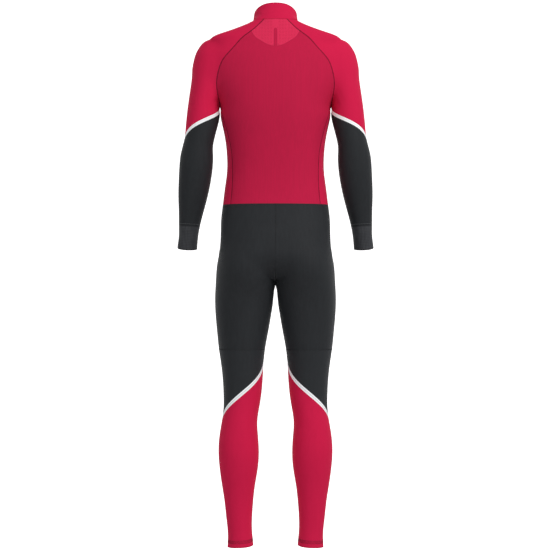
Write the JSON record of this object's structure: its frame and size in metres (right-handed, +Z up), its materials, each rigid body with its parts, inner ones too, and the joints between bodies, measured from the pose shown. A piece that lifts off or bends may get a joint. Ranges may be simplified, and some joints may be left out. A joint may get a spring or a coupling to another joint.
{
  "type": "racing suit",
  "caption": "One-piece long-sleeved stretch racing suit in its worn shape: stand-up collar, raglan sleeves, knit cuffs, slanting light strips on sleeves and legs, front zip.",
  "frame": {"origin": "middle of the wearer's neck at the height of the collar seam, where the wearer holds the suit up", "axes": "+Z up the wearer's body, +Y out of the back, -Y out of the front with the zip, +X to the wearer's left"},
  "size_m": [0.5354, 0.2394, 1.4626],
  "materials": {
    "red_cloth": "smooth stretch knit, faint sheen",
    "yoke_cloth": "perforated stretch knit",
    "black_cloth": "smooth stretch knit, faint sheen",
    "cuff_knit": "open knit, matt",
    "white_strip": "woven strip",
    "zip_tape": "woven tape",
    "zip_metal": "satin"
  },
  "bodies": {
    "suit": {"collar": "red_cloth", "back_yoke": "yoke_cloth", "back_panel": "red_cloth", "side_panel_left": "red_cloth", "side_panel_right": "red_cloth", "front_panel_left": "red_cloth", "front_panel_right": "red_cloth", "sleeve_upper_left": "red_cloth", "sleeve_upper_right": "red_cloth", "sleeve_strip_left": "white_strip", "sleeve_strip_right": "white_strip", "sleeve_lower_left": "black_cloth", "sleeve_lower_right": "black_cloth", "cuff_left": "cuff_knit", "cuff_right": "cuff_knit", "seat_thigh_left": "black_cloth", "seat_thigh_right": "black_cloth", "knee_panel_left": "black_cloth", "knee_panel_right": "black_cloth", "leg_strip_left": "white_strip", "leg_strip_right": "white_strip", "lower_leg_left": "red_cloth", "lower_leg_right": "red_cloth", "zip_tape": "zip_tape", "zip_slider": "zip_metal"},
    "pull_tab": {"pull_tab": "zip_metal"}
  },
  "joints": [
    {"name": "pull_tab_hinge", "type": "hinge", "parent": "suit", "child": "pull_tab", "pos_m": [0, -0.06927, -0.02217], "axis": [-1, 0, 0], "range_deg": [-6, 150]}
  ]
}
